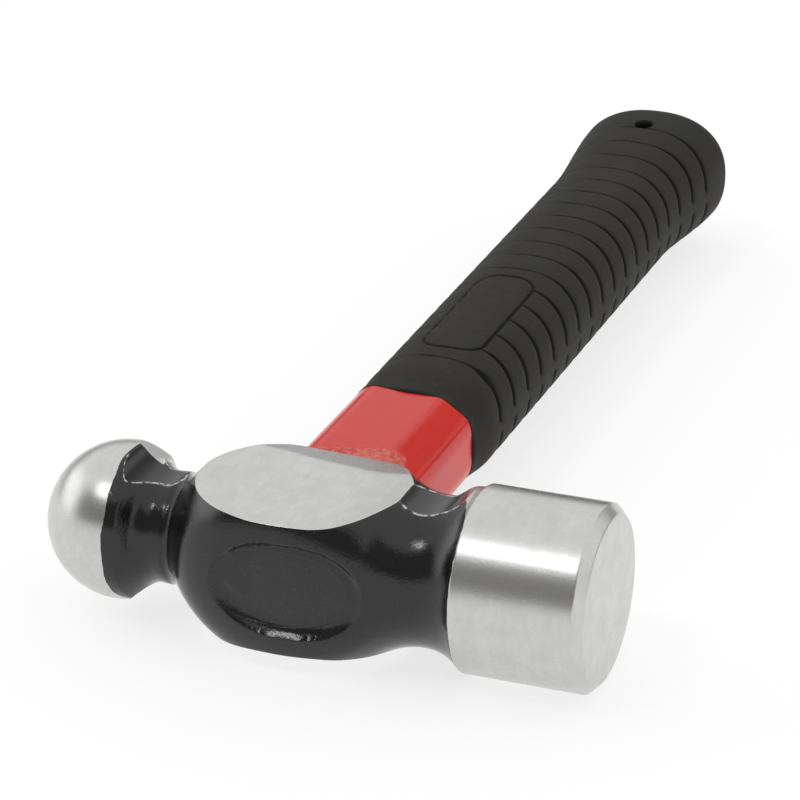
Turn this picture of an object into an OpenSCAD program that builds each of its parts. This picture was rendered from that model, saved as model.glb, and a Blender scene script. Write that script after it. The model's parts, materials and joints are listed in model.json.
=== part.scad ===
// Ball peen hammer with a bonded fibreglass handle, lying on its side.
// X runs along the head, with the flat striking face at +X and the ball at -X.
// Y runs along the handle, from the head's top at -Y to the rubber butt at +Y.
// Z points up out of the upper cheek. The hammer lies on z = 0, and the origin is
// the bottom centre of its bounding box.

/* [Striking face] */
// Diameter of the face cylinder
face_d = 38; // [36:0.5:40]
// From the middle of the eye to the striking face
face_reach = 62.7; // [60:0.1:66]
// Length of the face cylinder, with its chamfer
face_len = 26.8; // [24:0.2:28]
// Chamfer round the striking face
face_chamfer = 2.1; // [0.5:0.1:3]

/* [Ball] */
// Diameter of the ball
ball_d = 33; // [31:0.5:35]
// From the middle of the eye to the centre of the ball
ball_reach = 41.2; // [40:0.1:44]
// Radius of the hollow behind the ball
shoulder_r = 5.5; // [4.8:0.1:6]

/* [Body] */
// Diameter of the neck between the ball and the body
peen_neck_d = 23.2; // [22.6:0.1:24]
// Diameter of the neck between the body and the face cylinder
face_neck_d = 30.8; // [30:0.2:32]
// Greatest radius of the barrel-shaped body
barrel_r = 24.4; // [23.8:0.1:25.4]
// Radius of the barrel's lengthwise curve
barrel_curve_r = 31.8; // [31:0.1:33]
// Thickness from cheek to cheek
cheek_t = 28.8; // [27.5:0.1:30]
// From the middle of the eye to the head's front, away from the handle
front_reach = 20.6; // [20:0.1:21.4]
// From the middle of the eye to the head's back, where the handle enters
back_reach = 19.1; // [18.4:0.1:19.8]
// Width of the bevel from each cheek to the handle side
bevel_w = 7.8; // [5:0.1:10]
// Slope of that bevel, in degrees
bevel_angle = 11; // [8:0.5:16]

/* [Eye] */
// Length of the oval eye along the head
eye_len = 28.4; // [26:0.2:30]
// Width of the oval eye
eye_w = 16.2; // [15:0.2:17]
// Countersink round the eye's outer mouth
eye_chamfer = 2.2; // [1:0.1:2.4]

/* [Handle] */
// Width of the fibreglass core
core_w = 22.4; // [20:0.2:23]
// Thickness of the fibreglass core
core_t = 11.2; // [10:0.2:12]
// Width of the red jacket
jacket_w = 27.8; // [26:0.2:29]
// Thickness of the red jacket
jacket_t = 22; // [20:0.2:23]
// Radius of the jacket's four long edges
jacket_edge_r = 8; // [4:0.1:9]

/* [Grip] */
// From the middle of the eye to the front of the grip
grip_start = 55.5; // [48:0.5:60]
// From the middle of the eye to the end of the butt
grip_end = 243; // [238:0.5:248]
// Width of the grip at its front
grip_front_w = 32; // [31:0.2:33]
// Width of the grip where the butt begins to swell
grip_waist_w = 35.2; // [34:0.2:36.4]
// Greatest width of the butt
butt_w = 40.4; // [39:0.2:42]
// Thickness of the grip as a share of its width
grip_flatness = 0.82; // [0.78:0.01:0.88]
// Diameter of the hang hole
hang_d = 4.4; // [4:0.1:6]
// From the end of the butt to the hang hole
hang_inset = 17; // [15:0.5:18]

/* [Hidden] */
$fn = 96;
eps = 0.02;
far = 100;
arc_steps = 12;

face_r = face_d / 2;
ball_r = ball_d / 2;
ball_x = -ball_reach;
peen_neck_r = peen_neck_d / 2;
face_neck_r = face_neck_d / 2;
cheek_z = cheek_t / 2;
face_start = face_reach - face_len;

// The barrel's lengthwise curve is one arc, whose middle is near the eye.
barrel_x = -1;
barrel_axis_r = barrel_r - barrel_curve_r;

// Fillets that are tangent to the barrel and to each neck.
peen_fillet_r = 4;
face_fillet_r = 17;
function fillet_dx(neck_r, fillet_r) =
    sqrt(pow(barrel_curve_r + fillet_r, 2) - pow(neck_r + fillet_r - barrel_axis_r, 2));
peen_fillet_x = barrel_x - fillet_dx(peen_neck_r, peen_fillet_r);
face_fillet_x = barrel_x + fillet_dx(face_neck_r, face_fillet_r);
peen_fillet_a = atan2(peen_neck_r + peen_fillet_r - barrel_axis_r, peen_fillet_x - barrel_x);
face_fillet_a = atan2(face_neck_r + face_fillet_r - barrel_axis_r, face_fillet_x - barrel_x);

// The hollow behind the ball runs from the ball's rim down to the neck.
rim_r = ball_r - 0.55;
rim_x = ball_x + sqrt(pow(ball_r, 2) - pow(rim_r, 2));
hollow_a = asin((peen_neck_r + shoulder_r - rim_r) / shoulder_r);
hollow_x = rim_x + shoulder_r * cos(hollow_a);

// The flare from the face neck up to the face cylinder is one hollow arc.
flare_dx = face_start - face_fillet_x;
flare_dr = face_r - face_neck_r;
flare_r = (pow(flare_dx, 2) + pow(flare_dr, 2)) / (2 * flare_dr);
flare_a = asin(flare_dx / flare_r);

// Half length of the cuts that make the head's front and back.
slab_x = 27;

// Grooves ground across the necks, each a cylinder that lies along Y.
peen_groove_r = 7.1;
peen_groove_x = -30.8;
peen_groove_z = 11.1 + peen_groove_r;
face_groove_r = 12.4;
face_groove_x = 25;
face_groove_z = 14.3 + face_groove_r;

// Bond and tenon inside the eye.
fill_start = -front_reach + eye_chamfer;
bond_end_gap = 4;
core_start = fill_start + bond_end_gap;
core_end = grip_end - 34;
jacket_end = core_end + 4;

// Grip sections: [distance from the eye, half width].
grip_sections = [
    [grip_start, grip_front_w / 2 - 0.5],
    [grip_start + 3, grip_front_w / 2],
    [grip_end - 41, grip_waist_w / 2],
    [grip_end - 17, butt_w / 2 - 0.8],
    [grip_end - 7, butt_w / 2],
    [grip_end - 2, butt_w / 2 - 2.4],
    [grip_end, butt_w / 2 - 6.5],
];
section_power = 2.3;
section_steps = 48;

// Moves the head-centred drawing to its place on the floor.
module lie_down() {
    low_x = ball_x - ball_r;
    translate([-(low_x + face_reach) / 2, -(grip_end - front_reach) / 2, face_r])
        children();
}

// Points of an arc, from angle a0 to a1 round the centre [cx, cr].
function arc(cx, cr, r, a0, a1) =
    [for (i = [0:arc_steps])
        let (a = a0 + (a1 - a0) * i / arc_steps)
        [cr + r * sin(a), cx + r * cos(a)]];

// Outline of the turned head as [radius, x] points.
head_outline = concat(
    [[0, ball_x], [rim_r, ball_x]],
    arc(hollow_x, peen_neck_r + shoulder_r, shoulder_r, 180 + hollow_a, 270),
    arc(peen_fillet_x, peen_neck_r + peen_fillet_r, peen_fillet_r, 270, 180 + peen_fillet_a),
    arc(barrel_x, barrel_axis_r, barrel_curve_r, peen_fillet_a, face_fillet_a),
    arc(face_fillet_x, face_neck_r + face_fillet_r, face_fillet_r, 180 + face_fillet_a, 270),
    arc(face_fillet_x, face_neck_r + flare_r, flare_r, 270, 270 + flare_a),
    [
        [face_r, face_reach - face_chamfer],
        [face_r - face_chamfer, face_reach],
        [0, face_reach],
    ]);

// Turned blank: ball, necks, barrel and face cylinder.
module head_blank() {
    rotate([0, 90, 0])
        rotate_extrude()
            polygon(head_outline);
    translate([ball_x, 0, 0])
        rotate([0, 90, 0])
            sphere(r = ball_r);
}

// Material ground off above the upper cheek, with its bevel and neck grooves.
module cheek_cut() {
    bevel_start = back_reach - bevel_w;
    translate([peen_groove_x, 0, 0])
        rotate([90, 0, 90])
            linear_extrude(face_groove_x - peen_groove_x)
                polygon([
                    [-far, cheek_z],
                    [bevel_start, cheek_z],
                    [far, cheek_z - (far - bevel_start) * tan(bevel_angle)],
                    [far, far],
                    [-far, far],
                ]);
    translate([peen_groove_x, 0, peen_groove_z])
        rotate([90, 0, 0])
            cylinder(r = peen_groove_r, h = far, center = true);
    translate([face_groove_x, 0, face_groove_z])
        rotate([90, 0, 0])
            cylinder(r = face_groove_r, h = far, center = true);
}

// Bar of oval section along Y, from y0 to y1.
module oval_bar(len, w, y0, y1) {
    for (side = [-1, 1])
        translate([side * (len - w) / 2, y0, 0])
            rotate([-90, 0, 0])
                cylinder(d = w, h = y1 - y0);
    translate([-(len - w) / 2, y0, -w / 2])
        cube([len - w, y1 - y0, w]);
}

// Countersink at the eye's outer mouth.
module eye_countersink() {
    half_run = (eye_len - eye_w) / 2;
    deep = eye_chamfer + eps;
    for (side = [-1, 1])
        translate([side * half_run, -front_reach - eps, 0])
            rotate([-90, 0, 0])
                cylinder(r1 = eye_w / 2 + deep, r2 = eye_w / 2, h = deep);
    translate([-half_run, -front_reach - eps, 0])
        rotate([90, 0, 90])
            linear_extrude(2 * half_run)
                polygon([
                    [0, eye_w / 2 + deep],
                    [deep, eye_w / 2],
                    [deep, -eye_w / 2],
                    [0, -eye_w / 2 - deep],
                ]);
}

// Bar of rounded rectangular section along Y, from y0 to y1.
module rounded_bar(w, t, r, y0, y1) {
    translate([-w / 2 + r, y0, -t / 2])
        cube([w - 2 * r, y1 - y0, t]);
    translate([-w / 2, y0, -t / 2 + r])
        cube([w, y1 - y0, t - 2 * r]);
    for (sx = [-1, 1], sz = [-1, 1])
        translate([sx * (w / 2 - r), y0, sz * (t / 2 - r)])
            rotate([-90, 0, 0])
                cylinder(r = r, h = y1 - y0);
}

// One thin slice of the grip at a section [distance, half width].
module grip_slice(section) {
    a = section[1];
    b = a * grip_flatness;
    power = 2 / section_power;
    translate([0, section[0], 0])
        rotate([90, 0, 0])
            linear_extrude(eps, center = true)
                polygon([for (i = [0:section_steps - 1])
                    let (t = 360 * i / section_steps)
                    [a * sign(cos(t)) * pow(abs(cos(t)), power),
                     b * sign(sin(t)) * pow(abs(sin(t)), power)]]);
}

// Forged steel head, with the eye right through it.
module head() {
    color([0.62, 0.63, 0.64])
        lie_down()
            difference() {
                head_blank();
                cheek_cut();
                mirror([0, 0, 1])
                    cheek_cut();
                for (y = [-front_reach - far / 2, back_reach + far / 2])
                    translate([0, y, 0])
                        cube([2 * slab_x, far, far], center = true);
                oval_bar(eye_len, eye_w, -far, far);
                eye_countersink();
            }
}

// Epoxy that bonds the tenon in the eye and caps it.
module eye_epoxy() {
    color([0.13, 0.13, 0.14])
        lie_down()
            difference() {
                oval_bar(eye_len, eye_w, fill_start, back_reach);
                oval_bar(core_w, core_t, core_start, far);
            }
}

// Fibreglass rod from the eye to near the hang hole.
module fibreglass_core() {
    color([0.80, 0.76, 0.60])
        lie_down()
            oval_bar(core_w, core_t, core_start, core_end);
}

// Red jacket moulded round the core, closed at its far end.
module handle_jacket() {
    color([0.78, 0.20, 0.18])
        lie_down()
            difference() {
                rounded_bar(jacket_w, jacket_t, jacket_edge_r, back_reach, jacket_end);
                oval_bar(core_w, core_t, -far, core_end);
            }
}

// Rubber sleeve with a swollen, closed butt and a hang hole through it.
module rubber_grip() {
    color([0.17, 0.17, 0.16])
        lie_down()
            difference() {
                for (i = [1:len(grip_sections) - 1])
                    hull() {
                        grip_slice(grip_sections[i - 1]);
                        grip_slice(grip_sections[i]);
                    }
                rounded_bar(jacket_w, jacket_t, jacket_edge_r, 0, jacket_end);
                translate([0, grip_end - hang_inset, 0])
                    cylinder(d = hang_d, h = far, center = true);
            }
}

head();
eye_epoxy();
fibreglass_core();
handle_jacket();
rubber_grip();
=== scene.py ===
import json
import math

import bpy
import numpy as np
from mathutils import Matrix, Vector


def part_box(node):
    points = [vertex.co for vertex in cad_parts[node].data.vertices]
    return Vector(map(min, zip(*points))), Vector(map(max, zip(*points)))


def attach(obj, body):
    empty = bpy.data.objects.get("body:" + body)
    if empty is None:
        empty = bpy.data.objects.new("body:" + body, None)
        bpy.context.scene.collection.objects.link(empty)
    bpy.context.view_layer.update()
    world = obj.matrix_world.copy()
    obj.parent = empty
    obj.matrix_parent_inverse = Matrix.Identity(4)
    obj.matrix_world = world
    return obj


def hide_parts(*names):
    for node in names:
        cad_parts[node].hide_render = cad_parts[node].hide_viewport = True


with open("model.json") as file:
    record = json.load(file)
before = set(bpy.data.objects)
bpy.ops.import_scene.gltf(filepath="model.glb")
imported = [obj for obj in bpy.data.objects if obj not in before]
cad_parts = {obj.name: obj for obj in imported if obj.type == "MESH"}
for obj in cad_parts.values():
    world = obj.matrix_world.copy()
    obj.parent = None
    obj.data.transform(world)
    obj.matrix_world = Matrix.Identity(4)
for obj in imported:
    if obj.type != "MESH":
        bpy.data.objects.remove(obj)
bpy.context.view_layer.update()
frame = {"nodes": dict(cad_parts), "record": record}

# ---- Frame -----------------------------------------------------------------
# Shapes are drawn in millimetres round the middle of the eye, with the CAD's
# axes: +X to the striking face, +Y to the butt, +Z out of the upper cheek.
MM = 0.001
mounts = {m["name"]: Vector(m["pos_m"]) for m in frame["record"]["mounts"]}
ORIGIN = Vector((mounts["upper_cheek"].x, mounts["upper_cheek"].y, mounts["strike_face"].z))


def local_box(node):
    """Lowest and highest corner of a CAD node, in millimetres from the eye."""
    low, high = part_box(node)
    return (low - ORIGIN) / MM, (high - ORIGIN) / MM


head_low, head_high = local_box("head")
eye_low, eye_high = local_box("eye_epoxy")
core_low, core_high = local_box("fibreglass_core")
jacket_low, jacket_high = local_box("handle_jacket")
grip_low, grip_high = local_box("rubber_grip")

FACE_X = head_high.x
FACE_R = head_high.z
FRONT_Y = -head_low.y
BACK_Y = head_high.y
CHEEK_Z = (mounts["upper_cheek"].z - ORIGIN.z) / MM
HOLE_Y = (mounts["hang_hole"].y - ORIGIN.y) / MM

# ---- Sizes that only the looks need, in millimetres -------------------------
BALL_R = 16.5
BALL_X = head_low.x + BALL_R
RIM_R = BALL_R - 0.55
NECK_X = -31.1
NECK_ARC_R = 5.0
NECK_ARC_START = 217.6
PEEN_NECK_R = 11.6
PEEN_RIDGE = 0.15
PEEN_RIDGE_WIDTH = 0.4
PEEN_FILLET_R = 4.0
FACE_NECK_R = 15.4
FACE_FILLET_R = 17.0
FACE_START = FACE_X - 26.8
FACE_CHAMFER = 2.1
FACE_CROWN = 0.15
POLE_GAP = 1.5
PROFILE_SOFTNESS = 0.35
BARREL_X = -1.0
BARREL_R = 24.4
BARREL_CURVE_R = 31.8
BEVEL_START = 11.2
BEVEL_SKEW = -0.13
BEVEL_SLOPE = math.tan(math.radians(11))
# The cheek lifts a little towards each neck: how far, and from where to where.
BALL_LIFT, BALL_LIFT_FROM, BALL_LIFT_TO = 0.4, 4.0, 13.0
FACE_LIFT, FACE_LIFT_FROM, FACE_LIFT_TO = 1.9, 7.0, 20.0
# Grooves ground across the necks: middle's x and z, and radius.
PEEN_GROOVE = (-30.9, 20.2, 9.1)
FACE_GROOVE = (26.2, 24.7, 10.1)
CHEEK_ENDS = (-25.6, 20.4)
# Metal behind the face cylinder on the handle side: depth, place along x, and turn.
FLARE_FILL, FLARE_FILL_FROM, FLARE_FILL_TO = 1.25, 28.6, 35.9
FLARE_FILL_TURN = 0.5
FRONT_EDGE = 7.0
FRONT_FLAT = 0.35
BACK_EDGE = 2.6
FRONT_OPENS = (24.0, 31.0)
GROUND_EDGE = 0.2
GROOVE_EDGE = 0.05
# A distance that never limits anything on the head.
FAR = 60.0
EYE_X, EYE_Z = 2.0, 0.5
EYE_MOUTH = (15.8, 10.3)
EYE_POWER = 2.25
# Where the recess's wall starts, as a share of its reach, and how steeply it ends.
EYE_WALL_START, EYE_WALL_WIDER = 0.88, 0.24
EYE_WALL_POWER, EYE_WALL_STEEPER = 1.2, 1.8
EYE_WALL_EDGE = 0.1
HANG_R = 2.2
# Edges turn sharp in the shading above this angle, in degrees.
SHARP_ABOVE = 35.0


# ---- Small geometry helpers --------------------------------------------------
def ramp(x, x0, x1):
    """Smooth step from 0 at x0 to 1 at x1."""
    t = np.clip((x - x0) / (x1 - x0), 0.0, 1.0)
    return t * t * (3.0 - 2.0 * t)


def smooth_min(a, b, k):
    """The lower of a and b, blended over a difference of k."""
    h = np.clip(0.5 + 0.5 * (b - a) / k, 0.0, 1.0)
    return b + (a - b) * h - k * h * (1.0 - h)


def arc(cx, cr, r, a0, a1, steps=40):
    """Points [x, radius] of an arc from angle a0 to a1, in degrees."""
    a = np.radians(np.linspace(a0, a1, steps))
    return np.stack([cx + r * np.cos(a), cr + r * np.sin(a)], 1)


def spread(low, high, density, count):
    """Count values from low to high, closest together where density(x) is greatest."""
    x = np.linspace(low, high, 4000)
    d = density(x)
    total = np.concatenate([[0.0], np.cumsum((d[1:] + d[:-1]) / 2)])
    return np.interp(np.linspace(0.0, total[-1], count), total, x)


def along(points, spacing):
    """Resamples a line of points. spacing(x) is the step to take at each place."""
    step = np.linalg.norm(np.diff(points, axis=0), axis=1)
    run = np.concatenate([[0.0], np.cumsum(step)])
    fine = np.linspace(0.0, run[-1], 8000)
    at = np.stack([np.interp(fine, run, points[:, k]) for k in range(points.shape[1])], 1)
    weight = 1.0 / spacing(at[:, 0])
    total = np.concatenate([[0.0], np.cumsum((weight[1:] + weight[:-1]) / 2)])
    total *= run[-1] / (len(fine) - 1)
    count = int(total[-1]) + 2
    s = np.interp(np.linspace(0.0, total[-1], count), total, fine)
    return np.stack([np.interp(s, fine, at[:, k]) for k in range(points.shape[1])], 1)


def ring_piece(name, rings):
    """A closed mesh from rings of points (rows, columns, xyz), with a pole at each end."""
    rows, cols = rings.shape[:2]
    poles = np.stack([rings[0].mean(0), rings[-1].mean(0)])
    points = np.concatenate([rings.reshape(-1, 3), poles]) * MM + np.array(ORIGIN)
    r, c = np.meshgrid(np.arange(rows - 1), np.arange(cols), indexing="ij")
    n = (c + 1) % cols
    quads = np.stack([r * cols + c, r * cols + n, (r + 1) * cols + n, (r + 1) * cols + c], -1)
    quads = quads.reshape(-1, 4)
    k = np.arange(cols)
    m = (k + 1) % cols
    first = np.stack([m, k, np.full(cols, rows * cols)], 1)
    base = (rows - 1) * cols
    last = np.stack([base + k, base + m, np.full(cols, rows * cols + 1)], 1)
    a, b, d = (points[quads[:, i]] - points[0] for i in (0, 1, 2))
    if np.einsum("ij,ij->i", a, np.cross(b, d)).sum() < 0:
        quads, first, last = quads[:, ::-1], first[:, ::-1], last[:, ::-1]
    mesh = bpy.data.meshes.new(name)
    mesh.from_pydata(points.tolist(), [], quads.tolist() + first.tolist() + last.tolist())
    return finished_piece(name, mesh)


def finished_piece(name, mesh):
    """An object in the scene with smooth shading and sharp edges above an angle."""
    mesh.polygons.foreach_set("use_smooth", [True] * len(mesh.polygons))
    mesh.set_sharp_from_angle(angle=math.radians(SHARP_ABOVE))
    mesh.update()
    piece = bpy.data.objects.new(name, mesh)
    bpy.context.scene.collection.objects.link(piece)
    return piece


def cut(piece, cutter):
    """Takes the cutter's solid out of the piece and removes the cutter."""
    tool = piece.modifiers.new("cut", "BOOLEAN")
    tool.operation = "DIFFERENCE"
    tool.solver = "EXACT"
    tool.object = cutter
    graph = bpy.context.evaluated_depsgraph_get()
    mesh = bpy.data.meshes.new_from_object(piece.evaluated_get(graph))
    name = piece.name
    bpy.data.objects.remove(piece)
    bpy.data.objects.remove(cutter)
    return finished_piece(name, mesh)


def places(piece):
    """A piece's mesh points, in millimetres from the eye."""
    mesh = piece.data
    co = np.zeros(len(mesh.vertices) * 3)
    mesh.vertices.foreach_get("co", co)
    return (co.reshape(-1, 3) - np.array(ORIGIN)) / MM


def mark(piece, name, values):
    """Stores one number at each mesh point, for the material to read."""
    made = piece.data.attributes.new(name, "FLOAT", "POINT")
    made.data.foreach_set("value", values.astype(np.float32))


def rounded_box_radius(angle, half_w, half_t, r):
    """Distance from the axis to a rounded rectangle's outline, at an angle from +X."""
    c, s = np.abs(np.cos(angle)), np.abs(np.sin(angle))
    flat = np.minimum(half_w / np.maximum(c, 1e-6), half_t / np.maximum(s, 1e-6))
    px, pz = half_w - r, half_t - r
    along_c = px * c + pz * s
    off = along_c ** 2 - (px ** 2 + pz ** 2 - r ** 2)
    corner = along_c + np.sqrt(np.maximum(off, 0.0))
    in_corner = (flat * c > px) & (flat * s > pz)
    return np.where(in_corner, corner, flat)


def power_radius(angle, half_w, half_t, power):
    """Distance from the axis to a superellipse, at an angle from +X."""
    c, s = np.abs(np.cos(angle)), np.abs(np.sin(angle))
    return ((c / half_w) ** power + (s / half_t) ** power) ** (-1.0 / power)


def section(angle, radius, y):
    """A ring of points at distance y along the handle."""
    radius, y = np.broadcast_arrays(radius, y)
    return np.stack([radius * np.cos(angle), y + 0.0 * angle, radius * np.sin(angle)], -1)


# ---- Head ---------------------------------------------------------------------
def turned_profile():
    """Outline of the turned head as [x, radius], from the ball's pole to the face's centre."""
    axis_r = BARREL_R - BARREL_CURVE_R

    def tangent_x(neck_r, fillet_r):
        rise = neck_r + fillet_r - axis_r
        return math.sqrt((BARREL_CURVE_R + fillet_r) ** 2 - rise ** 2)

    peen_x = BARREL_X - tangent_x(PEEN_NECK_R, PEEN_FILLET_R)
    face_x = BARREL_X + tangent_x(FACE_NECK_R, FACE_FILLET_R)
    peen_a = math.degrees(math.atan2(PEEN_NECK_R + PEEN_FILLET_R - axis_r, peen_x - BARREL_X))
    face_a = math.degrees(math.atan2(FACE_NECK_R + FACE_FILLET_R - axis_r, face_x - BARREL_X))
    rim_a = math.degrees(math.asin(RIM_R / BALL_R))
    flare_dx, flare_dr = FACE_START - face_x, FACE_R - FACE_NECK_R
    flare_r = (flare_dx ** 2 + flare_dr ** 2) / (2 * flare_dr)
    flare_a = math.degrees(math.asin(flare_dx / flare_r))
    return np.concatenate([
        arc(BALL_X, 0, BALL_R, 180 - POLE_GAP, rim_a, 160),
        arc(NECK_X, PEEN_NECK_R + NECK_ARC_R, NECK_ARC_R, NECK_ARC_START, 270),
        [[peen_x - PEEN_RIDGE_WIDTH, PEEN_NECK_R + PEEN_RIDGE]],
        arc(peen_x, PEEN_NECK_R + PEEN_FILLET_R, PEEN_FILLET_R, 275, 180 + peen_a),
        arc(BARREL_X, axis_r, BARREL_CURVE_R, peen_a, face_a, 120)[1:],
        arc(face_x, FACE_NECK_R + FACE_FILLET_R, FACE_FILLET_R, 180 + face_a, 270)[1:],
        arc(face_x, FACE_NECK_R + flare_r, flare_r, 270, 270 + flare_a)[1:],
        [[FACE_X - FACE_CHAMFER, FACE_R],
         [FACE_X - FACE_CROWN, FACE_R - FACE_CHAMFER],
         [FACE_X - 0.4 * FACE_CROWN, 0.6 * FACE_R],
         [FACE_X, 0.4]],
    ])


def softened(points, reach):
    """Rounds a dense line's corners by averaging each point with its neighbours."""
    step = 0.05
    fine = along(points, lambda x: np.full_like(x, step))
    n = int(reach / step)
    window = np.hanning(2 * n + 3)[1:-1]
    window /= window.sum()
    padded = np.concatenate([np.repeat(fine[:1], n, 0), fine, np.repeat(fine[-1:], n, 0)])
    return np.stack([np.convolve(padded[:, k], window, "valid") for k in (0, 1)], 1)


def ground_height(x, y):
    """Height of the ground cheek over the axis, with the bevel towards the handle."""
    to_ball = BALL_LIFT * ramp(-x, BALL_LIFT_FROM, BALL_LIFT_TO)
    run = (x - FACE_LIFT_FROM) / (FACE_LIFT_TO - FACE_LIFT_FROM)
    to_face = FACE_LIFT * np.maximum(run, 0.0) ** 1.5
    start = BEVEL_START + BEVEL_SKEW * x
    return CHEEK_Z + to_ball + to_face - np.maximum(y - start, 0.0) * BEVEL_SLOPE


def groove_height(x, groove):
    """Height left under a groove ground across a neck."""
    gx, gz, gr = groove
    inside = gr ** 2 - (x - gx) ** 2
    return np.where(inside > 0, gz - np.sqrt(np.maximum(inside, 0.0)), FAR)


def ground_limit(x, y):
    """Lowest of the ground surfaces above the axis at each place."""
    flat = ground_height(x, y)
    flat = np.where((x > PEEN_GROOVE[0]) & (x < FACE_GROOVE[0]), flat, FAR)
    flat = smooth_min(flat, groove_height(x, PEEN_GROOVE), GROOVE_EDGE)
    return smooth_min(flat, groove_height(x, FACE_GROOVE), GROOVE_EDGE)


# A facet ground on the ball's rim, on the handle side: its normal and distance. It
# runs out towards the neck and towards the front over these stretches of x and y.
FACET = np.array([0.583, 0.345, 0.737])
FACET_AT = -10.32
FACET_RISE = 3.0
FACET_OUT_X = (-36.4, -33.6)
FACET_OUT_Y = (1.0, 4.5)
FACET_END_X = -33.0


def eye_reach(x, z):
    """1 on the eye's mouth outline, and less inside it."""
    u = np.abs((x - EYE_X) / EYE_MOUTH[0])
    v = np.abs((z - EYE_Z) / EYE_MOUTH[1])
    return (u ** EYE_POWER + v ** EYE_POWER) ** (1.0 / EYE_POWER)


def eye_depth(x, z):
    """Depth of the recess round the eye: wide walls below, narrow above, faint at its ends."""
    lower = ramp(EYE_Z - z, -3.0, 4.0)
    start = EYE_WALL_START - EYE_WALL_WIDER * lower
    out = np.clip((eye_reach(x, z) - start) / (1.0 - start), 0.0, 1.3)
    power = EYE_WALL_POWER + EYE_WALL_STEEPER * lower
    wall = 1.0 - smooth_min(out ** power, np.ones_like(out), EYE_WALL_EDGE)
    ends = ramp(x, -15.0, -5.0) * (1.0 - 0.55 * ramp(x, 8.0, 17.0))
    return (FRONT_Y + eye_low.y) * wall * (0.3 + 0.7 * np.maximum(ends, 0.9 * lower))


def forged_radius(x, turned, angle):
    """Distance from the head's axis to the forged skin, before any grinding."""
    s, c = np.sin(angle), np.cos(angle)
    abs_s = np.maximum(np.abs(s), 1e-3)
    reach = np.where(s < 0, FRONT_Y + FRONT_FLAT, BACK_Y) + 30.0 * ramp(x, *FRONT_OPENS)
    edge = np.where(s < 0, FRONT_EDGE, BACK_EDGE)
    plain = smooth_min(turned, np.minimum(reach / abs_s, FAR), edge)
    radius = plain
    for _ in range(4):
        depth = np.where(s < -0.3, eye_depth(x, radius * c), 0.0)
        radius = plain - depth / abs_s
    return radius


def head_radius(x, turned, angle):
    """Distance from the head's axis to its surface. angle is 0 at +Z and 90 degrees at +Y."""
    s, c = np.sin(angle), np.cos(angle)
    abs_c = np.maximum(np.abs(c), 1e-3)
    forged = forged_radius(x, turned + flare_fill(x, angle), angle)
    edge = GROOVE_EDGE + (GROUND_EDGE - GROOVE_EDGE) * ramp(x, -26, -22) * (1 - ramp(x, 18, 21))
    radius = forged
    for _ in range(4):
        limit = np.minimum(ground_limit(x, radius * s) / abs_c, FAR)
        radius = smooth_min(forged, limit, edge)
    slope = FACET[1] * s + FACET[2] * abs_c
    facet = (FACET_AT - FACET[0] * x) / np.maximum(slope, 1e-3)
    facet += FACET_RISE * (ramp(x, *FACET_OUT_X) + 1.0 - ramp(radius * s, *FACET_OUT_Y))
    facet = np.where((slope > 0.05) & (x < FACET_END_X), facet, FAR)
    return smooth_min(radius, np.clip(facet, 0.0, FAR), GROUND_EDGE)


def flare_fill(x, angle):
    """Extra metal behind the face cylinder on the handle side, where its corner is rounded."""
    t = np.clip((x - FLARE_FILL_FROM) / (FLARE_FILL_TO - FLARE_FILL_FROM), 0.0, 1.0)
    hump = 0.5 * (1.0 - np.cos(2 * math.pi * t))
    upper, lower = FLARE_FILL_TURN, math.pi - FLARE_FILL_TURN
    over = np.minimum(np.abs(angle - upper), np.abs(angle - lower))
    return FLARE_FILL * hump * (1.0 - ramp(over, 0.25, 0.9))


def head_spacing(x):
    """Mesh spacing along the head, fine where grinding cuts cross the turned shape."""
    ball = 0.9 - 0.65 * ramp(x, -46.0, -40.0)
    body = 0.22 + 0.16 * ramp(x, -25.0, -20.0) - 0.14 * ramp(x, 14.0, 19.0)
    face = body + 1.6 * ramp(x, 36.5, 40.0) - 1.6 * ramp(x, 57.0, 60.0)
    disc = np.where(x > FACE_X - 0.6 * FACE_CROWN, 2.5, face)
    return np.where(x < -40.0, ball, disc)


def ridge_angle(x, turned, side):
    """Angle from the top to the edge of the ground surfaces, on the front (-1) or back (1)."""
    angle = side * np.linspace(0.0, 0.48 * math.pi, 600)[None, :]
    forged = forged_radius(x, turned, angle)
    ground = ground_limit(x, forged * np.sin(angle)) < forged * np.cos(angle)
    last = ground.shape[1] - 1 - np.argmax(ground[:, ::-1], axis=1)
    edge = np.where(ground.any(axis=1), np.abs(angle[0])[last], 0.0)
    return np.maximum(edge, 0.2)[:, None]


def head_columns(x, turned):
    """Angles of the mesh columns in each row, with one column along each ground edge."""
    def quarter(side, over, below):
        edge = ridge_angle(x, turned, side)
        top = 1.0 - (1.0 - np.linspace(0.0, 1.0, over, endpoint=False)) ** 1.6
        rest = np.linspace(0.0, 1.0, below, endpoint=False) ** 1.25
        return np.concatenate([edge * top, edge + (math.pi / 2 - edge) * rest], axis=1)

    front, back = quarter(-1, 26, 44), quarter(1, 22, 30)
    level = np.full_like(x, math.pi / 2)
    return np.concatenate([front - math.pi, -level, -front[:, ::-1],
                           back[:, 1:], level, math.pi - back[:, :0:-1]], axis=1)


def make_head(line):
    """The forged head, bored right through for the handle's tenon."""
    x, turned = line[:, :1], line[:, 1:]
    angle = head_columns(x, turned)
    radius = head_radius(x, turned, angle)
    rings = np.stack([x + 0.0 * radius, radius * np.sin(angle), radius * np.cos(angle)], -1)
    head = ring_piece("forged_head", rings)
    return cut(head, eye_prism("eye_cutter", -FRONT_Y - 2.0, BACK_Y + 2.0))


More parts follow.
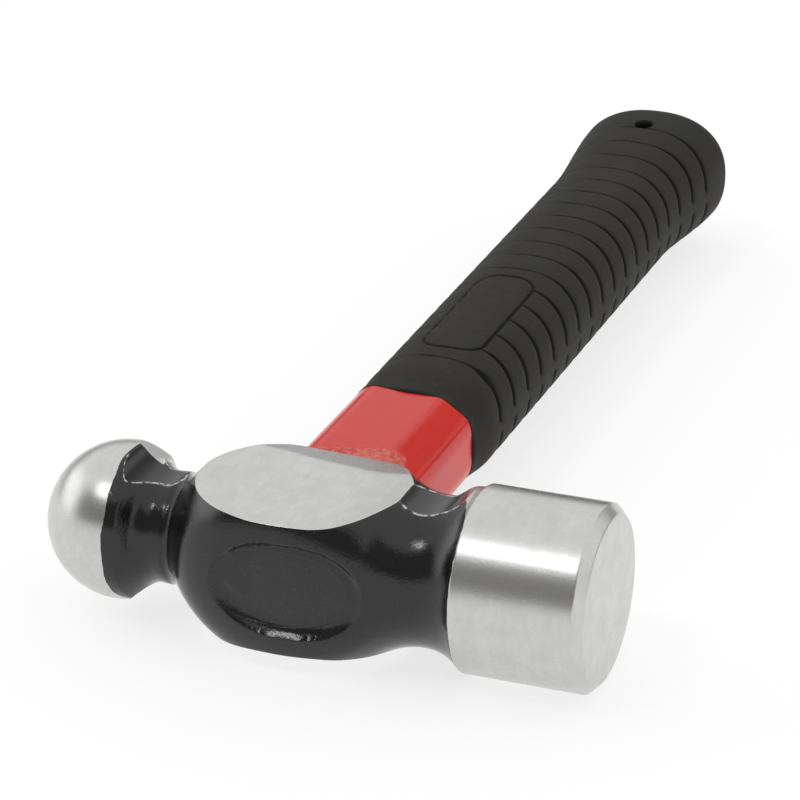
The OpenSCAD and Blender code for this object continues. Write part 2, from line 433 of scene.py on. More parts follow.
def front_y(x, z, line):
    """Place of the head's front surface, with its recess, at each x and z."""
    turned = np.interp(x, line[:, 0], line[:, 1])
    y = np.full_like(x, -FRONT_Y)
    for _ in range(6):
        radius = forged_radius(x, turned, np.arctan2(y, z))
        y = -np.sqrt(np.maximum(radius ** 2 - z ** 2, 1.0))
    return y


def eye_outline(grow=0.0, count=96):
    """Angles and distances of the eye's oval, seen along the handle."""
    half_l, half_w = (eye_high.x - eye_low.x) / 2, (eye_high.z - eye_low.z) / 2
    angle = np.linspace(0.0, 2.0 * math.pi, count, endpoint=False)
    return angle, power_radius(angle, half_l + grow, half_w + grow, EYE_POWER)


def eye_prism(name, y0, y1):
    """A plain prism of the eye's section."""
    angle, radius = eye_outline()
    rings = np.stack([section(angle, radius * f, y) for f, y in
                      ((0.5, y0), (1.0, y0), (1.0, y1), (0.5, y1))])
    return ring_piece(name, rings)


# Where the enamel stops on the ball, the face cylinder and the rim's facet.
BALL_ENAMEL_X, BALL_ENAMEL_IN, BALL_ENAMEL_OUT = -39.3, 2.3, 1.6
GROOVE_MIN_Z = 11.0
FACE_ENAMEL_BACK = 4.0
FACET_ENAMEL_X, FACET_ENAMEL_Y = -34.4, 3.8
CRISPER = 6.0
# How near a groove's ridge the painted highlight on the enamel is full, and where it has faded out.
RIDGE_HIGHLIGHT_REACH = (0.03, 0.14)


def enamel_edge(p):
    """Distance inside the enamelled area, in millimetres. Negative on ground steel."""
    x, y, z = p[:, 0], p[:, 1], np.abs(p[:, 2])
    turn = np.arctan2(p[:, 1], p[:, 2])
    # The line on the ball wavers, and comes in at the bottom.
    low_corner = ramp(-p[:, 2], 9.5, 15.0)
    waver = 0.15 * np.sin(5 * turn) + 0.1 * np.sin(11 * turn + 1)
    line = BALL_ENAMEL_X + BALL_ENAMEL_IN * low_corner + waver
    # The groove across the neck is enamelled to its end, so the line moves out on it.
    ball_skin = np.sqrt(np.maximum(BALL_R ** 2 - (x - BALL_X) ** 2, 0.0))
    on_groove = ramp(ball_skin - np.hypot(y, z), 0.05, 0.2) * (p[:, 2] > GROOVE_MIN_Z)
    ball = x - line + BALL_ENAMEL_OUT * on_groove
    # The metal filled in behind the face cylinder is bare.
    rounded = ramp(turn, -0.6, 0.35) * (1.0 - ramp(turn, 1.0, 1.8))
    face = FACE_START - FACE_ENAMEL_BACK * rounded + 0.08 * np.sin(6 * turn) - x
    # Heights above a ground surface count more, so that its edge is crisp.
    under = CRISPER * (ground_height(x, y) - z - 0.1)
    cheek = np.maximum(under, np.maximum(CHEEK_ENDS[0] - x, x - CHEEK_ENDS[1]))
    above = FACET[0] * x + FACET[1] * y + FACET[2] * z
    off_facet = CRISPER * (FACET_AT - above - 0.15)
    facet = np.maximum(off_facet, np.maximum(x - FACET_ENAMEL_X, FACET_ENAMEL_Y - y))
    return np.minimum(np.minimum(ball, face), np.minimum(cheek, facet))


def mark_enamel(piece, line):
    """Stores where the enamel is on the head's mesh, and where the grooves' ridges get a painted
    highlight.
    """
    p = places(piece)
    mark(piece, "enamel_edge", np.clip(enamel_edge(p), -3.0, 3.0))
    x, y, z = p[:, 0], p[:, 1], np.abs(p[:, 2])
    angle = np.arctan2(p[:, 1], p[:, 2])
    forged = forged_radius(x, np.interp(x, line[:, 0], line[:, 1]) + flare_fill(x, angle), angle)
    groove = np.minimum(groove_height(x, PEEN_GROOVE), groove_height(x, FACE_GROOVE))
    off = np.abs(forged * z / np.hypot(y, z) - groove)
    mark(piece, "ridge", 1.0 - ramp(off, *RIDGE_HIGHLIGHT_REACH))


# ---- Epoxy in the eye -----------------------------------------------------------
# The plug is this much wider than the eye and this much under the recess's skin.
EPOXY_FIT = 0.02


def make_epoxy(line):
    """Epoxy plug: its face fills the recess, and its back has a socket for the core."""
    angle, outline = eye_outline(grow=EPOXY_FIT, count=160)
    core = rounded_box_radius(angle, core_high.x, core_high.z, core_high.z)

    def face(share):
        radius = outline * share
        x, z = radius * np.cos(angle), radius * np.sin(angle)
        return np.stack([x, front_y(x, z, line) + EPOXY_FIT, z], -1)

    rows = [face(f) for f in np.linspace(0.02, 1.0, 56)]
    rim = rows[-1]
    for f in np.linspace(0.04, 1.0, 14):
        ring = rim.copy()
        ring[:, 1] += (BACK_Y - rim[:, 1]) * f
        rows.append(ring)
    rows += [section(angle, core, y) for y in np.linspace(BACK_Y, core_low.y, 14)]
    rows += [section(angle, core * f, core_low.y) for f in (0.98, 0.5, 0.03)]
    return ring_piece("epoxy_plug", np.stack(rows))


# ---- Red jacket -------------------------------------------------------------------
JACKET_EDGE_R = 8.0
JACKET_LEFT_EDGE_R = 6.0
# The facet's normal, x and z, and its distance from the axis.
JACKET_FACET = (0.575, 0.818, 13.1)
JACKET_FACET_EDGE = 0.6
JACKET_END_R = 0.8
# The lip is lower than the jacket, and its length varies across the jacket.
LIP_DROP = 0.45
LIP_LEAST, LIP_LEFT, LIP_MORE = 0.25, 4.2, 4.6


def jacket_section(angle, half_w, half_t):
    """Jacket outline: rounded corners on the ball's side, soft facets on the face's side."""
    faced = rounded_box_radius(angle, half_w, half_t, JACKET_EDGE_R)
    plain = rounded_box_radius(angle, half_w, half_t, JACKET_LEFT_EDGE_R)
    nx, nz, reach = JACKET_FACET
    facet = reach / (nx * np.abs(np.cos(angle)) + nz * np.abs(np.sin(angle)))
    return np.where(np.cos(angle) > 0, smooth_min(faced, facet, JACKET_FACET_EDGE), plain)


def jacket_lip(angle, side):
    """Length of the wedge-shaped lip at the head, longest beside the facet on each face."""
    rise = ramp(side, -1.0, 0.62) * (1.0 - ramp(side, 0.66, 0.80))
    on_face = ramp(np.abs(np.sin(angle)), 0.45, 0.7)
    return LIP_LEAST + (LIP_LEFT + LIP_MORE * rise) * (rise > 0) * on_face


def make_jacket():
    """Jacket moulded round the core, with a skewed lip where it meets the head."""
    half_w, half_t = jacket_high.x, jacket_high.z
    angle = spread(0, 2 * math.pi, lambda a: 1.0 + 0.9 * np.abs(np.sin(a)), 281)[:-1]
    body = jacket_section(angle, half_w, half_t)
    core = rounded_box_radius(angle, core_high.x, core_high.z, core_high.z)
    start, end = jacket_low.y, jacket_high.y
    lip = jacket_lip(angle, body * np.cos(angle) / half_w)
    rows = [section(angle, core * 0.05, core_high.y), section(angle, core * 0.9, core_high.y)]
    rows += [section(angle, core, y) for y in np.linspace(core_high.y - 0.4, start + 0.5, 24)]
    rows += [section(angle, core + (body - LIP_DROP - core) * f, start) for f in (0.02, 0.5, 1.0)]
    for f in np.linspace(0.05, 1.0, 16):
        drop = LIP_DROP * (1.0 - ramp(f, 0.55, 1.0))
        rows.append(section(angle, body - drop, start + lip * f))
    for f in np.linspace(0.02, 1.0, 60) ** 1.2:
        rows.append(section(angle, body, start + lip + (end - JACKET_END_R - start - lip) * f))
    for f in np.linspace(0.25, 1.0, 5):
        turn = f * math.pi / 2
        shrink = JACKET_END_R * (1 - math.cos(turn))
        rows.append(section(angle, body - shrink, end - JACKET_END_R * (1 - math.sin(turn))))
    rows.append(section(angle, body * 0.5, end))
    rows.append(section(angle, body * 0.04, end))
    return ring_piece("jacket_moulding", np.stack(rows))


def mark_lip(piece):
    """Stores how far each point lies inside the rough lip, for the jacket's material."""
    x, y, z = places(piece).T
    half_w = jacket_high.x
    lip = jacket_lip(np.arctan2(z, x), x / half_w)
    mark(piece, "lip", 1.0 - ramp(y - jacket_low.y - lip, -0.45, 0.15))


# ---- Rubber grip --------------------------------------------------------------------
GRIP_POWER = 2.3
GRIP_FLATNESS = 0.82
GRIP_FRONT_R = 0.8
GRIP_FRONT_TAPER = 1.35
GRIP_FRONT_SKEW = 1.8
GRIP_HALF_FRONT = 15.9
GRIP_HALF_WAIST = 17.2
GRIP_HALF_BUTT = grip_high.x - 0.15
SWELL_START = 196.0
SWELL_END = 236.0
BUTT_ROUND = 8.5
BUTT_SHRINK = 0.36
RING_COUNT = 18
RING_FIRST = 68.6
RING_PITCH = 8.95
RING_SLANT = 2.9
RING_LOWER_SHIFT = 1.0
RING_DEPTH = 0.66
# How much of the ring grooves' depth is lost at the upper left of the grip.
RING_FADE_LEFT = 0.85
# Where the slant of the sections is level again, and where the painted shade in the grooves ends.
SLANT_END = 226.0
GROOVE_SHADE_END = (228.0, 232.0)
# Groove depth at which the painted shade in the grooves starts, and at which it is darkest.
GROOVE_SHADE_DEPTHS = (0.06, 0.26)
# The first ring is open for a stretch above its side: middle turn, reach and depth.
SLOT_TURN, SLOT_REACH, SLOT_DEPTH = 0.72, 0.13, 0.5
# How far the rubber bulges between two grooves.
PILLOW = 0.10
# The cartouche's middle, half sizes and corner radius, and the rings that stop at it.
CARTOUCHE = (0.1, 98.7, 7.1, 21.6, 5.2)
CARTOUCHE_DEPTH = 0.5
CARTOUCHE_LINE = 0.36
CARTOUCHE_RINGS = (0.5, 5.5)
CARTOUCHE_ENDS = (76.0, 116.5)
PARTING_RISE = 0.09
BORE_GAP = 0.02
HOLE_MOUTH = 1.3


def grip_half_width(y):
    """Half width of the grip along the handle, before its ends are rounded."""
    run = (y - grip_low.y) / (SWELL_END - grip_low.y)
    waist = GRIP_HALF_FRONT + (GRIP_HALF_WAIST - GRIP_HALF_FRONT) * run
    swell = (GRIP_HALF_BUTT - GRIP_HALF_WAIST) * ramp(y, SWELL_START, SWELL_END)
    return waist + swell


def ring_slant(angle):
    """How far a ring groove lies towards the butt at each place round the grip."""
    height = np.abs(np.sin(angle))
    return RING_SLANT * ramp(height, 0.0, 0.9) + RING_LOWER_SHIFT * ramp(-np.sin(angle), -0.1, 0.1)


def cartouche_distance(x, y):
    """Distance from the cartouche's outline on the grip's top, negative inside."""
    cx, cy, half_x, half_y, r = CARTOUCHE
    qx = np.abs(x - cx) - (half_x - r)
    qy = np.abs(y - cy) - (half_y - r)
    outside = np.hypot(np.maximum(qx, 0.0), np.maximum(qy, 0.0))
    return outside + np.minimum(np.maximum(qx, qy), 0.0) - r


def ring_cut(u, angle, x, y):
    """Depth of the ring grooves. u is y with the rings' slant taken out."""
    near = np.clip(np.round((u - RING_FIRST) / RING_PITCH), 0, RING_COUNT - 1)
    off = u - RING_FIRST - RING_PITCH * near
    rise = np.sin(angle)
    side = ramp(np.abs(np.cos(angle)), 0.35, 0.9)
    tip = ramp(np.abs(rise + 0.03), 0.06, 0.13)
    slot = np.exp(-(((angle - SLOT_TURN) / SLOT_REACH) ** 2)) * (near < 0.5)
    width = 0.27 + 0.27 * side + 0.3 * slot
    waver = 0.5 + 0.5 * np.sin(5.1 * angle + 2.3 * near) * np.sin(9.7 * angle - 1.7 * near)
    depth = RING_DEPTH * (0.55 + 0.45 * side) * tip * (1.0 - 0.5 * waver * (1.0 - side))
    upper_left = ramp(-x, 2.0, 8.0) * ramp(rise, -0.1, 0.2)
    depth = depth * (1.0 - RING_FADE_LEFT * upper_left) + SLOT_DEPTH * slot
    groove = depth * np.exp(-((off / width) ** 2))
    beside = (rise > 0) & (near > CARTOUCHE_RINGS[0]) & (near < CARTOUCHE_RINGS[1])
    groove = np.where(beside, groove * ramp(cartouche_distance(x, y), 0.0, 0.5), groove)
    span = (u > RING_FIRST - 4) & (u < RING_FIRST + RING_PITCH * (RING_COUNT - 0.5))
    pillow = PILLOW * np.cos(2 * math.pi * off / RING_PITCH) * side * tip
    return np.where(span, groove + pillow, 0.0)


def grip_columns():
    """Angles round the grip, closest together over the cartouche."""
    def density(a):
        return 1.0 + 1.0 * np.exp(-(((a - math.pi / 2) / 0.62) ** 4))
    return spread(-math.pi / 2, 1.5 * math.pi, density, 205)[:-1]


def grip_cut(u, angle, x, y):
    """Depth of the rings and of the cartouche's outline, which breaks up on its left."""
    outline = cartouche_distance(x, y)
    dashes = 0.5 + 0.5 * np.sin(1.15 * y) * np.sin(0.47 * y + 1.0)
    broken = ramp(-x, 4.5, 6.0) * dashes
    line = np.exp(-((outline / CARTOUCHE_LINE) ** 2)) * (1.0 - 0.8 * broken) * CARTOUCHE_DEPTH
    return np.maximum(ring_cut(u, angle, x, y), line * (np.sin(angle) > 0))


def grip_rows():
    """Places along the grip, closest together at each groove and at the cartouche's ends."""
    def density(u):
        near = np.clip(np.round((u - RING_FIRST) / RING_PITCH), 0, RING_COUNT - 1)
        off = np.abs(u - RING_FIRST - RING_PITCH * near)
        groove = 4.0 * np.exp(-((off / 0.9) ** 4))
        ends = sum(np.exp(-(((u - at) / 4.5) ** 4)) for at in CARTOUCHE_ENDS)
        edge = 2.5 * np.exp(-(((u - grip_low.y) / 1.5) ** 2))
        butt = 1.2 * ramp(u, 232.0, 240.0)
        return 1.0 + groove + 1.4 * ends + edge + butt
    return spread(grip_low.y + 0.05, grip_high.y - BUTT_ROUND, density, 380)


def make_grip():
    """Rubber sleeve with ring grooves, a plain cartouche, a parting line and a hang hole."""
    angle = grip_columns()
    bore = jacket_section(angle, jacket_high.x, jacket_high.z) + BORE_GAP
    start, end, deep = grip_low.y, grip_high.y, jacket_high.y + BORE_GAP
    rows = [section(angle, bore * f, deep) for f in (0.05, 0.5, 0.97)]
    rows += [section(angle, bore, y) for y in np.linspace(jacket_high.y - 0.5, start + 5.0, 30)]
    slant = ring_slant(angle)
    parting = np.exp(-((np.sin(angle) / 0.022) ** 2)) * np.abs(np.cos(angle))

    def outer(u, inset):
        level_again = ramp(u, SLANT_END, end - BUTT_ROUND)
        slanted = ramp(u, start + 1.0, start + 13.0) * (1.0 - level_again)
        y = u + slant * slanted
        half = grip_half_width(y)
        radius = power_radius(angle, half, half * GRIP_FLATNESS, GRIP_POWER)
        depth = grip_cut(u, angle, radius * np.cos(angle), y)
        ridge = PARTING_RISE * parting * ramp(u, start + 2.0, start + 5.0)
        thin = GRIP_FRONT_TAPER * (1.0 - ramp(u, start, start + 9.0))
        left = ramp(-np.cos(angle), 0.1, 1.0)
        skew = GRIP_FRONT_SKEW * left * (1.0 - ramp(u, start, start + 12.0))
        return section(angle, radius - depth + ridge - thin - inset, y + skew)

    for f in np.linspace(0.0, 1.0, 7):
        lift = outer(start, GRIP_FRONT_R)
        inner = section(angle, bore + 0.12, lift[:, 1])
        rows.append(inner + (lift - inner) * f)
    for f in np.linspace(0.15, 0.85, 6):
        turn = f * math.pi / 2
        ahead, inset = (GRIP_FRONT_R * (1 - t) for t in (math.cos(turn), math.sin(turn)))
        rows.append(outer(start + ahead, inset))
    for u in grip_rows():
        if u > start + GRIP_FRONT_R:
            rows.append(outer(u, 0.0))
    half = grip_half_width(end - BUTT_ROUND)
    butt = power_radius(angle, half, half * GRIP_FLATNESS, GRIP_POWER)
    for f in np.linspace(0.03, 1.0, 34):
        turn = f * math.pi / 2
        shrink = 1.0 - BUTT_SHRINK * (1.0 - math.cos(turn) ** 0.9)
        y = end - BUTT_ROUND + BUTT_ROUND * math.sin(turn) ** 1.15
        rows.append(section(angle, butt * shrink, y))
    last = rows[-1]
    middle = last.mean(0)
    for f in (0.75, 0.5, 0.25, 0.03):
        rows.append(middle + (last - middle) * f)
    grip = cut(ring_piece("grip_sleeve", np.stack(rows)), hang_cutter())
    mark_groove_shade(grip)
    return grip


def mark_groove_shade(piece):
    """Stores painted shade for the grooves: how deep each point lies in one, for the rubber's material.
    """
    x, y, z = places(piece).T
    angle = np.mod(np.arctan2(z, x) + math.pi / 2, 2 * math.pi) - math.pi / 2
    half = grip_half_width(y)
    skin = power_radius(angle, half, half * GRIP_FLATNESS, GRIP_POWER)
    depth = skin - np.hypot(x, z)
    clear = ramp(y, grip_low.y + 9.0, grip_low.y + 11.5) * (1.0 - ramp(y, *GROOVE_SHADE_END))
    mark(piece, "groove", clear * ramp(depth, *GROOVE_SHADE_DEPTHS))


def hang_cutter():
    """The hang hole with a small rounding at each mouth."""
    angle = np.linspace(0.0, 2.0 * math.pi, 48, endpoint=False)
    top = grip_high.z + 1.0
    half = grip_half_width(HOLE_Y) * GRIP_FLATNESS
    steps = [(-top, HOLE_MOUTH), (-half, 0.5), (-half + 0.5, 0.12), (-half + 1.2, 0.0)]
    steps += [(-z, grow) for z, grow in reversed(steps)]
    rows = []
    for z, grow in [(steps[0][0], -1.5)] + steps + [(steps[-1][0], -1.5)]:
        r = HANG_R + grow
        ring = np.stack([r * np.cos(angle), HOLE_Y + r * np.sin(angle), np.full_like(angle, z)], -1)
        rows.append(ring)
    return ring_piece("hang_cutter", np.stack(rows))


# ---- Materials ------------------------------------------------------------------------
class Graph:
    """Adds nodes to a material or world, and links the sockets it is given."""

    def __init__(self, owner):
        owner.use_nodes = True
        self.tree = owner.node_tree
        self.tree.nodes.clear()

    def add(self, kind, values=None, **settings):
        """A node. values maps an input's name or number to a value or another socket."""
        node = self.tree.nodes.new(kind)
        for key, value in settings.items():
            setattr(node, key, value)
        for key, value in (values or {}).items():
            if isinstance(value, bpy.types.NodeSocket):
                self.tree.links.new(value, node.inputs[key])
            else:
                node.inputs[key].default_value = value
        return node

    def math(self, operation, a, b=0.0):
        return self.add("ShaderNodeMath", {0: a, 1: b}, operation=operation).outputs[0]

    def noise(self, vector, scale, detail=3.0, rough=0.5):
        values = {"Vector": vector, "Scale": scale, "Detail": detail, "Roughness": rough}
        return self.add("ShaderNodeTexNoise", values).outputs["Fac"]

    def stretch(self, vector, scale):
        return self.add("ShaderNodeMapping", {"Vector": vector, "Scale": scale}).outputs[0]

    def remap(self, value, low, high, to_low=0.0, to_high=1.0):
        """A smooth step from to_low at low to to_high at high."""
        values = {"Value": value, "From Min": low, "From Max": high, "To Min": to_low, "To Max": to_high}
        node = self.add("ShaderNodeMapRange", values, interpolation_type="SMOOTHSTEP")
        return node.outputs["Result"]

    def band(self, value, rise, fall):
        """1 between two limits, each given as the values where it starts and ends."""
        return self.math("MULTIPLY", self.remap(value, *rise), self.remap(value, *fall, 1.0, 0.0))

    def mix(self, factor, a, b):
        node = self.add("ShaderNodeMix", {0: factor, 6: a, 7: b}, data_type="RGBA")
        return node.outputs[2]

    def blend(self, factor, a, b):
        node = self.add("ShaderNodeMix", {0: factor, 2: a, 3: b}, data_type="FLOAT")
        return node.outputs[0]

    def bump(self, height, distance, strength=1.0, normal=None):
        values = {"Height": height, "Distance": distance, "Strength": strength}
        if normal is not None:
            values["Normal"] = normal
        return self.add("ShaderNodeBump", values).outputs[0]

    def finish(self, values):
        shader = self.add("ShaderNodeBsdfPrincipled", values)
        self.add("ShaderNodeOutputMaterial", {"Surface": shader.outputs[0]})


def material(name):
    """A new material, its graph, and the socket with the place on the object."""
    made = bpy.data.materials.new(name)
    graph = Graph(made)
    place = graph.add("ShaderNodeTexCoord").outputs["Object"]
    return made, graph, place


def colour(r, g, b):
    """An opaque colour."""
    return (r, g, b, 1.0)


def head_material():
    """Ground steel with faint brushing, and black enamel with a painted highlight along the grooves'
    ridges.
    """
    made, g, place = material("forged_steel_and_enamel")
    edge = g.add("ShaderNodeAttribute", attribute_name="enamel_edge").outputs["Fac"]
    wander = g.math("MULTIPLY", g.math("SUBTRACT", g.noise(place, 700.0, 2.0), 0.5), 0.4)
    enamel = g.remap(g.math("ADD", edge, wander), -0.05, 0.05)
    # Fine grinding lines run round the head's axis, and stains lie in soft blots.
    lines = g.noise(g.stretch(place, (9000.0, 420.0, 420.0)), 1.0, 4.0, 0.6)
    broad = g.noise(g.stretch(place, (900.0, 160.0, 160.0)), 1.0, 3.0)
    mottle = g.noise(place, 230.0, 5.0, 0.68)
    spots = g.noise(place, 1100.0, 3.0, 0.75)
    tone = g.math("ADD", g.math("MULTIPLY", lines, 0.16), g.math("MULTIPLY", broad, 0.2))
    tone = g.math("ADD", tone, g.math("MULTIPLY", mottle, 0.64))
    steel = g.mix(g.remap(tone, 0.32, 0.66), colour(0.535, 0.535, 0.521), colour(0.598, 0.603, 0.596))
    steel = g.mix(g.remap(spots, 0.62, 0.80, 0.0, 0.35), steel, colour(0.34, 0.325, 0.29))
    steel_rough = g.remap(tone, 0.3, 0.7, 0.31, 0.26)
    speck = g.remap(g.noise(place, 2600.0, 2.0, 0.6), 0.60, 0.78)
    black = g.mix(speck, colour(0.008, 0.008, 0.009), colour(0.035, 0.034, 0.032))
    # Painted highlight: the enamel turns light grey along the grooves' ridges.
    ridge = g.add("ShaderNodeAttribute", attribute_name="ridge").outputs["Fac"]
    painted_ridge_highlight = g.math("MULTIPLY", ridge, g.remap(g.noise(place, 750.0, 3.0, 0.7), 0.40, 0.60))
    black = g.mix(painted_ridge_highlight, black, colour(0.62, 0.63, 0.65))
    peel = g.noise(place, 420.0, 3.0, 0.55)
    skin = g.noise(place, 1700.0, 4.0, 0.65)
    enamel_rough = g.remap(g.noise(place, 240.0, 3.0), 0.35, 0.7, 0.05, 0.09)
    # Edges are worn, so the shading turns over a small radius there.
    worn = g.add("ShaderNodeBevel", {"Radius": 0.00035}, samples=6).outputs[0]
    steel_bump = g.bump(lines, 0.00002, 0.4, worn)
    steel_bump = g.bump(g.noise(place, 1500.0, 4.0, 0.7), 0.00004, 0.45, steel_bump)
    relief = g.math("ADD", g.math("MULTIPLY", peel, 0.55), g.math("MULTIPLY", skin, 0.45))
    enamel_bump = g.bump(relief, 0.00016, 0.5, worn)
    normal = g.add("ShaderNodeMix", {0: enamel, 4: steel_bump, 5: enamel_bump},
                   data_type="VECTOR").outputs[1]
    g.finish({
        "Base Color": g.mix(enamel, steel, black),
        "Metallic": g.math("SUBTRACT", 1.0, enamel),
        "Roughness": g.blend(enamel, steel_rough, enamel_rough),
        "Normal": normal,
    })
    return made


def epoxy_material():
    """Black filled epoxy, glossy and a little sandy."""
    made, g, place = material("black_epoxy")
    grain = g.noise(place, 1500.0, 3.0, 0.6)
    swirl = g.noise(place, 200.0, 3.0)
    speck = g.remap(g.noise(place, 2300.0, 2.0, 0.6), 0.58, 0.75)
    g.finish({
        "Base Color": g.mix(speck, colour(0.012, 0.012, 0.012), colour(0.04, 0.038, 0.035)),
        "Roughness": g.remap(swirl, 0.3, 0.7, 0.16, 0.26),
        "Normal": g.bump(grain, 0.00012, 0.8, g.bump(swirl, 0.0004, 0.5)),
    })
    return made


def jacket_material():
    """Red moulded plastic, glossy, with faint flow lines and a paler, rough lip."""
    made, g, place = material("red_jacket_plastic")
    lip = g.add("ShaderNodeAttribute", attribute_name="lip").outputs["Fac"]
    flow = g.noise(g.stretch(place, (500.0, 60.0, 500.0)), 1.0, 3.0)
    cloud = g.noise(place, 90.0, 3.0)
    fine = g.noise(place, 1700.0, 2.0)
    chips = g.noise(place, 900.0, 4.0, 0.7)
    tone = g.math("ADD", g.math("MULTIPLY", flow, 0.5), g.math("MULTIPLY", cloud, 0.5))
    red = g.mix(g.remap(tone, 0.3, 0.7), colour(0.60, 0.016, 0.011), colour(0.65, 0.022, 0.015))
    pale = g.mix(g.remap(chips, 0.4, 0.62), colour(0.60, 0.05, 0.04), colour(0.66, 0.18, 0.14))
    smooth = g.bump(fine, 0.00002, 0.3, g.bump(flow, 0.00003, 0.3))
    rough = g.bump(chips, 0.00015, 0.8)
    g.finish({
        "Base Color": g.mix(lip, red, pale),
        "Roughness": g.blend(lip, g.remap(cloud, 0.3, 0.7, 0.16, 0.24), 0.5),
        "Specular IOR Level": 0.28,
        "Normal": g.add("ShaderNodeMix", {0: lip, 4: smooth, 5: rough}, data_type="VECTOR").outputs[1],
    })
    return made


def rubber_material():
    """Matte black rubber with a fine moulded grain, dusty bloom, and painted shade in the grooves."""
    made, g, place = material("black_grip_rubber")
    # Painted shade: the rubber turns near black deep in the grooves.
    groove = g.add("ShaderNodeAttribute", attribute_name="groove").outputs["Fac"]
    grain = g.noise(place, 2200.0, 4.0, 0.65)
    bloom = g.noise(place, 110.0, 4.0, 0.6)
    scuff = g.noise(g.stretch(place, (300.0, 900.0, 300.0)), 1.0, 4.0, 0.65)
    dust = g.math("MULTIPLY", g.remap(scuff, 0.5, 0.8), g.remap(bloom, 0.35, 0.75))
    base = g.mix(g.remap(bloom, 0.3, 0.7), colour(0.0185, 0.0178, 0.0145), colour(0.025, 0.0238, 0.0198))
    worn = g.mix(dust, base, colour(0.048, 0.045, 0.039))
    fleck = g.remap(g.noise(place, 1300.0, 3.0, 0.7), 0.62, 0.78, 0.0, 0.5)
    worn = g.mix(fleck, worn, colour(0.045, 0.042, 0.036))
    g.finish({
        "Base Color": g.mix(groove, worn, colour(0.003, 0.003, 0.003)),
        "Roughness": g.remap(bloom, 0.3, 0.7, 0.62, 0.75),
        "Normal": g.bump(grain, 0.00007, 0.7, g.bump(scuff, 0.00012, 0.3)),
        "Specular IOR Level": 0.19,
    })
    return made


def core_material():
    """Pale fibreglass rod, with glass strands along the handle."""
    made, g, place = material("fibreglass_rod")
    strands = g.noise(g.stretch(place, (2600.0, 30.0, 2600.0)), 1.0, 4.0, 0.6)
    cloud = g.noise(place, 120.0, 3.0)
    pale = g.mix(g.remap(strands, 0.35, 0.65), colour(0.62, 0.56, 0.38), colour(0.80, 0.77, 0.62))
    g.finish({
        "Base Color": g.mix(g.remap(cloud, 0.4, 0.8, 0.0, 0.35), pale, colour(0.55, 0.50, 0.34)),
        "Roughness": g.remap(strands, 0.3, 0.7, 0.38, 0.55),
        "Normal": g.bump(strands, 0.00005, 0.6),
    })
    return made


def floor_material():
    """Plain white floor, lit a little from within so that its shadows stay faint."""
    made, g, _ = material("white_floor")
    g.finish({
        "Base Color": colour(0.28, 0.28, 0.28),
        "Roughness": 0.9,
        "Specular IOR Level": 0.0,
        "Emission Color": colour(1.0, 1.0, 1.0),
        "Emission Strength": 0.75,
    })
    return made


def dress(piece, made):
    """Gives a piece its material and its place in the assembly."""
    piece.data.materials.clear()
    piece.data.materials.append(made)
    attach(piece, "root")


# ---- Stage ------------------------------------------------------------------------------
def make_floor():
    """A plain white square that the hammer lies on."""
    mesh = bpy.data.meshes.new("floor")
    half = 4.0
    corners = [(-half, -half, 0), (half, -half, 0), (half, half, 0), (-half, half, 0)]
    mesh.from_pydata(corners, [], [(0, 1, 2, 3)])
    floor = bpy.data.objects.new("floor", mesh)
    bpy.context.scene.collection.objects.link(floor)
    floor.data.materials.append(floor_material())


# How much of the white studio each dim zone takes away, and the panel on the left adds.
FRONT_WALL = 0.77
LOW_BACK_WALL = 0.86
BACK_RIGHT_CORNER = 0.62
LEFT_PANEL = 0.8
FRONT_TURN = math.radians(-5)
FRONT_REACH = (math.cos(math.radians(68)), math.cos(math.radians(56)))


def make_world():
    """A white studio: dim in front, low behind and at the back right, brighter at the left."""
    world = bpy.data.worlds.new("studio")
    bpy.context.scene.world = world
    g = Graph(world)
    way = g.add("ShaderNodeTexCoord").outputs["Generated"]
    x, y, z = g.add("ShaderNodeSeparateXYZ", {0: way}).outputs
    level = g.math("SQRT", g.math("SUBTRACT", 1.0, g.math("MULTIPLY", z, z)))
    towards = g.math("ADD", g.math("MULTIPLY", x, math.sin(FRONT_TURN)),
                     g.math("MULTIPLY", y, -math.cos(FRONT_TURN)))
    facing = g.math("DIVIDE", towards, g.math("MAXIMUM", level, 0.05))
    front = g.math("MULTIPLY", g.remap(facing, *FRONT_REACH), g.band(z, (0.05, 0.22), (0.70, 0.77)))
    low_back = g.math("MULTIPLY", g.remap(y, 0.0, 0.4), g.remap(z, 0.11, 0.26, 1.0, 0.0))
    right = g.math("MULTIPLY", g.band(x, (0.06, 0.18), (0.44, 0.56)), g.remap(y, 0.2, 0.5))
    corner = g.math("MULTIPLY", right, g.band(z, (0.26, 0.38), (0.50, 0.62)))
    left = g.math("MULTIPLY", g.remap(x, -0.93, -0.76, 1.0, 0.0), g.band(z, (0.05, 0.2), (0.66, 0.78)))
    shade = g.math("MAXIMUM", g.math("MULTIPLY", low_back, LOW_BACK_WALL),
                   g.math("MULTIPLY", corner, BACK_RIGHT_CORNER))
    shade = g.math("MAXIMUM", g.math("MULTIPLY", front, FRONT_WALL), shade)
    glow = g.math("ADD", g.math("SUBTRACT", 1.0, shade), g.math("MULTIPLY", left, LEFT_PANEL))
    tint = g.mix(shade, colour(1.0, 1.0, 1.0), colour(1.0, 0.97, 0.90))
    back = g.add("ShaderNodeBackground", {"Color": tint, "Strength": glow})
    g.add("ShaderNodeOutputWorld", {"Surface": back.outputs[0]})


SOFTBOX_ENERGY = 0.13
SOFTBOX_ANGLE = 4.2


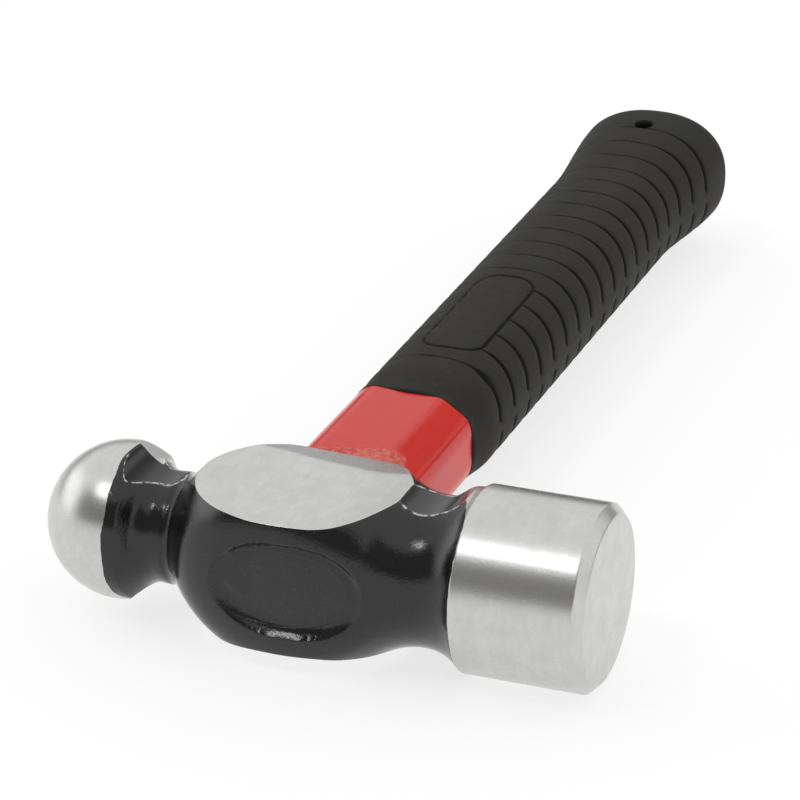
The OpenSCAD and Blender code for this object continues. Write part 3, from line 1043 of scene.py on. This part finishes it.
def make_softbox(name, turn, rise):
    """A small softbox high in front: turn is to the right of -Y, in degrees."""
    lamp = bpy.data.lights.new(name, "SUN")
    lamp.energy = SOFTBOX_ENERGY
    lamp.angle = math.radians(SOFTBOX_ANGLE)
    holder = bpy.data.objects.new(name, lamp)
    bpy.context.scene.collection.objects.link(holder)
    turn, rise = math.radians(turn), math.radians(rise)
    way = Vector((math.sin(turn) * math.cos(rise), -math.cos(turn) * math.cos(rise), math.sin(rise)))
    holder.rotation_mode = "QUATERNION"
    holder.rotation_quaternion = way.to_track_quat("Z", "Y")


CAMERA_AZIMUTH = 21.56
CAMERA_ELEVATION = 24.463
CAMERA_ROLL = -0.769
CAMERA_LENS, CAMERA_SENSOR = 135.0, 36.0
CAMERA_AT = Vector((214.2, -493.2, 277.4))


def make_camera():
    """A long lens from the front right, a little above the hammer."""
    a, e = math.radians(CAMERA_AZIMUTH), math.radians(CAMERA_ELEVATION)
    forward = Vector((-math.sin(a) * math.cos(e), math.cos(a) * math.cos(e), -math.sin(e)))
    right = Vector((math.cos(a), math.sin(a), 0.0))
    up = right.cross(forward)
    roll = math.radians(CAMERA_ROLL)
    x = right * math.cos(roll) + up * math.sin(roll)
    y = up * math.cos(roll) - right * math.sin(roll)
    data = bpy.data.cameras.new("camera")
    data.lens, data.sensor_width = CAMERA_LENS, CAMERA_SENSOR
    data.clip_start, data.clip_end = 0.05, 20.0
    camera = bpy.data.objects.new("camera", data)
    bpy.context.scene.collection.objects.link(camera)
    turned = Matrix((x, y, -forward)).transposed().to_4x4()
    camera.matrix_world = Matrix.Translation(ORIGIN + CAMERA_AT * MM) @ turned
    bpy.context.scene.camera = camera


# ---- Assembly -----------------------------------------------------------------------------
make_camera()
make_world()
make_softbox("softbox_left", -43, 57)
make_softbox("softbox_right", -30, 58)
make_floor()
bpy.context.scene.view_settings.view_transform = "Standard"

head_line = along(softened(turned_profile(), PROFILE_SOFTNESS), head_spacing)
head = make_head(head_line)
mark_enamel(head, head_line)
dress(head, head_material())
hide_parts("head")

epoxy = make_epoxy(head_line)
dress(epoxy, epoxy_material())
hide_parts("eye_epoxy")

jacket = make_jacket()
mark_lip(jacket)
dress(jacket, jacket_material())
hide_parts("handle_jacket")

grip = make_grip()
dress(grip, rubber_material())
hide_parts("rubber_grip")

core = frame["nodes"]["fibreglass_core"]
core.data.materials.clear()
core.data.materials.append(core_material())
